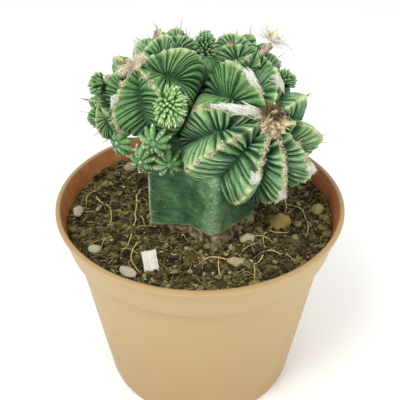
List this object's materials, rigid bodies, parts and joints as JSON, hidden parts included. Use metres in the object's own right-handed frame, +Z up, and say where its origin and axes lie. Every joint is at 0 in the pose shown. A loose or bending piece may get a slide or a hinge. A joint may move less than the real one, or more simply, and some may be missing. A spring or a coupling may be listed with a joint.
{
  "type": "potted cactus",
  "caption": "Grafted Aztekium ritteri: pleated grey-green heads with pups, wool and a flower on a green ribbed stock, in gritty soil in a terracotta-coloured plastic pot.",
  "frame": {"origin": "centre of the pot's foot, on the surface that it stands on", "axes": "+Z up along the pot's axis, -Y towards the picture's viewer, +X to the viewer's right"},
  "size_m": [0.09, 0.09, 0.119],
  "materials": {
    "pot": "satin moulded terracotta-coloured plastic",
    "soil": "damp bark and peat compost with straw fibres",
    "stem": "smooth dark green skin, brown and corky at the foot",
    "head": "matt pleated green skin with paler rib edges",
    "pup": "matt light green tubercles with white woolly tips",
    "dried": "dry tan and brown flower remains",
    "wool": "fine white wool",
    "petal": "thin white petals, pinkish at the tube",
    "eye": "yellow stamens",
    "stone": "rough grit",
    "chip": "pale fluted chip"
  },
  "bodies": {
    "root": {"pot": "pot", "soil": "soil", "stem": "stem", "head_right": "head", "head_left": "head", "head_far_left": "head", "head_top_right": "head", "head_top_left": "head", "head_back_right": "head", "head_back_left": "head", "pup_a": "pup", "pup_b": "pup", "pup_c": "pup", "pup_d": "pup", "bunch_front": "pup", "bunch_top": "pup", "bunch_left": "pup", "bunch_right": "pup", "dried_flower_right": "dried", "dried_flower_left": "dried", "dried_flower_top": "dried", "wool_stripe": "wool", "wool_a": "wool", "wool_b": "wool", "wool_c": "wool", "wool_d": "wool", "wool_e": "wool", "wool_f": "wool", "flower": "petal", "flower_eye": "eye", "stone_ochre": "stone", "stone_pale": "stone", "stone_front": "stone", "stone_right": "stone", "stone_back_right": "stone", "stone_left": "stone", "stone_front_left": "stone", "stone_rim_left": "stone", "stone_back_left": "stone", "chip": "chip"}
  },
  "joints": []
}
